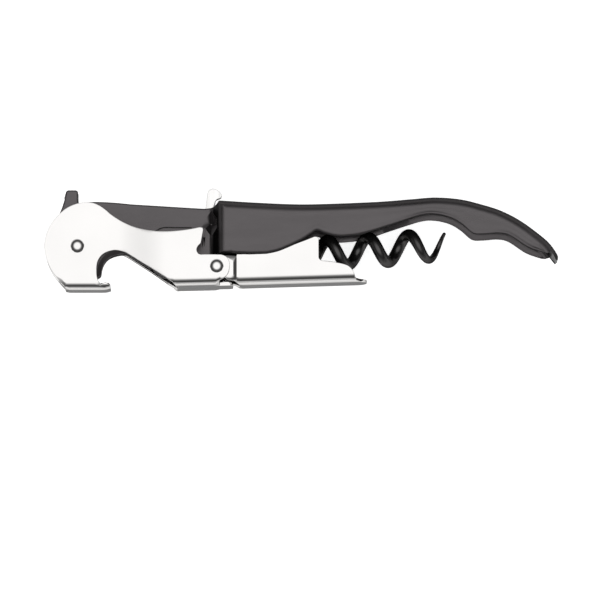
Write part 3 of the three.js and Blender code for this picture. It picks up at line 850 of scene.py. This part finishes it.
def make_worm():
    start, sides, steps, cap = 34.3, 28, 420, 8
    turns = [2 * math.pi * i / sides for i in range(sides)]
    rings = []
    for i in range(steps + cap + 1):
        x = start + (HELIX_END - start) * min(1, i / steps)
        rounding = math.pi / 2 * max(0, i - steps) / cap
        ahead = (worm_centre(x + 0.01) - worm_centre(x - 0.01)).normalized()
        up = ahead.cross(Vector((1, 0, 0)))
        if x < HELIX_START + 1:
            up = Vector((0, 1, 0)) - ahead * ahead.y
        up = Vector((0, 1, 0)) if up.length < 1e-3 else up.normalized()
        side = ahead.cross(up)
        taper = min(1.0, max(0.0, (x - (HELIX_END - TAPER_LENGTH)) / TAPER_LENGTH))
        radius = (WIRE - (WIRE - WIRE_TIP) * taper ** 1.3) * max(0.05, math.cos(rounding))
        middle = worm_centre(x) + ahead * WIRE_TIP * math.sin(rounding)
        rings.append([middle + radius * (math.cos(a) * up + math.sin(a) * side) for a in turns])
    # Each ring starts where the one before it does, so that the surface has no twist.
    for before, ring in zip(rings, rings[1:]):
        shift = min(range(sides), key=lambda k: (ring[k] - before[0]).length)
        ring[:] = ring[shift:] + ring[:shift]
    made = rings_to_solid("worm_coated", rings)
    low, high = WORM.y - 2.9, WORM.y + 2.9
    flat = (Outline(WORM.x, high).arc(WORM.x, WORM.y, 2.9, 90, 270).line((29.9, low))
            .curve(30.7, WORM.y - 2.8, 31.0, -4.6).curve(31.4, -3.55, 32.6, -3.5)
            .line((34.6, -3.9), (36.4, -3.7)).curve(37.2, -2.75, 36.4, -1.8)
            .line((34.6, -1.5)).curve(31, high, 28, high).points)
    boolean(made, slab("shank", flat, -1.0, 1.0, rim=0.35), "UNION")
    boolean(made, slab("hub_hole", circle(WORM.x, WORM.y, PIN_HOLE), -5, 5), "DIFFERENCE")
    place(made, "worm", "black_coating", COATING, "worm")


# ---------------------------------------------------------------- knife

KNIFE_SHEET = 2.0
GRIND_WIDTH = 3.2
GRIND_AWAY = 0.86


def make_knife():
    drawn = (Outline(*on_circle(3.6, 100), chord=0.25)
             .arc(0, 0, 3.6, 100, 292).curve(5.5, -1.4, 9.0, 2.2))
    first, last, teeth, tooth_height = Vector((9.6, 2.25)), Vector((20.0, 3.0)), 9, 0.5
    for i in range(teeth):
        a = first.lerp(last, i / teeth)
        b = first.lerp(last, (i + 1) / teeth)
        middle = (a + b) / 2 + Vector((0, tooth_height))
        drawn.line(tuple(a)).curve(*middle, *b)
    outline = (drawn.curve(25.6, 3.5, 28.2, 7.3).curve(28.9, 8.2, 31.2, 8.3).line((31.9, 9.6))
               .curve(31.9, 11.0, 32.6, 11.3).curve(33.9, 11.6, 33.5, 12.6)
               .curve(32.6, 13.9, 31.5, 13.9).curve(30.3, 13.9, 30.1, 12.6)
               .line((29.7, 8.8), (26.4, 8.7)).curve(25.6, 7.6, 24.4, 7.5).line((3.0, 3.5)).points)

    def surface(x, y):
        return Vector((x, y, 0))
    made = pressed_sheet("knife_ground", outline, [circle(0, 0, PIN_HOLE)], KNIFE_SHEET, 0.2,
                         surface, 0.5)
    # The blade is ground thin toward its edge, but not at its tab.
    for vertex in made.data.vertices:
        x, y, z = vertex.co
        edge = 2.2 + (x - 9.6) * 0.065
        from_edge = min(1.0, max(0.0, (y - edge) / GRIND_WIDTH))
        ground = smoothstep(x, 7.5, 10.0) * (1 - from_edge) if y < 8 else 0.0
        vertex.co.z = z * (1 - GRIND_AWAY * ground)
    place(made, "knife", "ground_steel", STEEL, "knife")


# ---------------------------------------------------------------- rivets and washers

def make_rivet(name, centre, grip, body, slot, material, node):
    """A pin with a domed head at each end; grip is half the height of what it holds."""
    under = grip + RIVET_GAP
    steps = 10
    head = []
    for i in range(steps + 1):
        reach = i / steps
        dome = (RIVET_DOME - RIVET_SHOULDER) * (1 - reach ** 2.6)
        head.append((RIVET_HEAD * reach, under + RIVET_SHOULDER + dome))
    head += [(RIVET_HEAD, under + 0.05), (RIVET_HEAD - 0.05, under), (1.0, under)]
    mirrored = [(radius, -height) for radius, height in reversed(head)]
    made = lathe(name, head + mirrored, centre.x, centre.y)
    place(made, body, slot, material, node)


def make_washer(name, centre, radius, low, high, slot, material, node):
    rim = 0.1
    profile = [(PIN_HOLE, low), (radius - rim, low), (radius, low + rim), (radius, high - rim),
               (radius - rim, high), (PIN_HOLE, high)]
    made = lathe(name, profile, centre.x, centre.y)
    place(made, "handle", slot, material, node)


def make_fasteners():
    origin = Vector((0, 0, 0))
    on_head = HEAD_OUTER + RIVET_GAP
    make_rivet("main_rivet_domed", origin, LEVER_AT_HEAD, "handle", "bright_chrome", CHROME,
               "main_rivet")
    make_rivet("step_rivet_domed", STEP, LEVER_AT_FORK, "lever", "bright_chrome", CHROME,
               "step_rivet")
    make_rivet("worm_rivet_domed", WORM, on_head + WORM_WASHER, "handle", "black_coating", COATING,
               "worm_rivet")
    low = (HEAD_OUTER + LEVER_AT_HEAD - LEVER_SHEET - MAIN_WASHER) / 2
    high = low + MAIN_WASHER
    make_washer("main_washer_upper_bright", origin, MAIN_WASHER_RADIUS, low, high,
                "ground_steel", STEEL, "main_washer_upper")
    make_washer("main_washer_lower_bright", origin, MAIN_WASHER_RADIUS, -high, -low,
                "ground_steel", STEEL, "main_washer_lower")
    low, high = on_head, on_head + WORM_WASHER
    make_washer("worm_washer_upper_coated", WORM, WORM_WASHER_RADIUS, low, high,
                "black_coating", COATING, "worm_washer_upper")
    make_washer("worm_washer_lower_coated", WORM, WORM_WASHER_RADIUS, -high, -low,
                "black_coating", COATING, "worm_washer_lower")


# ---------------------------------------------------------------- stage

# Light of the studio by the height of the direction it comes from, 0 at the horizon and 1 overhead.
SKY = ((0.31, 0.42), (0.38, 0.06), (0.62, 0.05), (0.75, 0.16), (0.83, 0.42), (0.89, 0.85),
       (0.94, 1.0))
SKY_STRENGTH = 1.75


def make_stage():
    bm = bmesh.new()
    bmesh.ops.create_grid(bm, x_segments=2, y_segments=2, size=12)
    floor = to_object("floor", bm)
    floor.location.z = -0.0002
    pale = bpy.data.materials.new("pale_floor")
    pale.use_nodes = True
    shader = pale.node_tree.nodes["Principled BSDF"]
    shader.inputs["Base Color"].default_value = (0.9, 0.9, 0.9, 1)
    shader.inputs["Roughness"].default_value = 0.9
    shader.inputs["Specular IOR Level"].default_value = 0.0
    shader.inputs["Emission Color"].default_value = (1, 1, 1, 1)
    shader.inputs["Emission Strength"].default_value = 0.75
    floor.data.materials.append(pale)

    world = bpy.data.worlds.new("studio")
    bpy.context.scene.world = world
    world.use_nodes = True
    tree = world.node_tree
    background = tree.nodes["Background"]
    where = tree.nodes.new("ShaderNodeTexCoord")
    split = tree.nodes.new("ShaderNodeSeparateXYZ")
    ramp = tree.nodes.new("ShaderNodeValToRGB")
    tree.links.new(where.outputs["Generated"], split.inputs["Vector"])
    tree.links.new(split.outputs["Z"], ramp.inputs["Fac"])
    tree.links.new(ramp.outputs["Color"], background.inputs["Color"])
    stops = ramp.color_ramp.elements
    stops[0].position, stops[1].position = SKY[0][0], SKY[-1][0]
    for position, _ in SKY[1:-1]:
        stops.new(position)
    for stop, (position, level) in zip(stops, SKY):
        stop.color = (level, level, level, 1)
    background.inputs["Strength"].default_value = SKY_STRENGTH


def make_camera():
    """Looks down at the tool from far off; width is how much of it, in metres, the picture takes in."""
    aim = MAIN + Vector((51.75, -12.2, 0)) * MM
    elevation, distance, width = math.radians(83.5), 1.6, 0.1397
    camera = bpy.data.cameras.new("camera")
    camera.lens = camera.sensor_width * distance / width
    holder = bpy.data.objects.new("camera", camera)
    away = Vector((0, -math.cos(elevation), math.sin(elevation)))
    holder.location = aim + away * distance
    holder.rotation_euler = (math.pi / 2 - elevation, 0, 0)
    camera.clip_start = 0.01
    bpy.context.scene.collection.objects.link(holder)
    bpy.context.scene.camera = holder


make_camera()
make_body()
make_lever()
make_boot()
make_worm()
make_knife()
make_fasteners()
make_stage()

scene = bpy.context.scene
scene.view_settings.view_transform = "Standard"
scene.view_settings.look = "None"
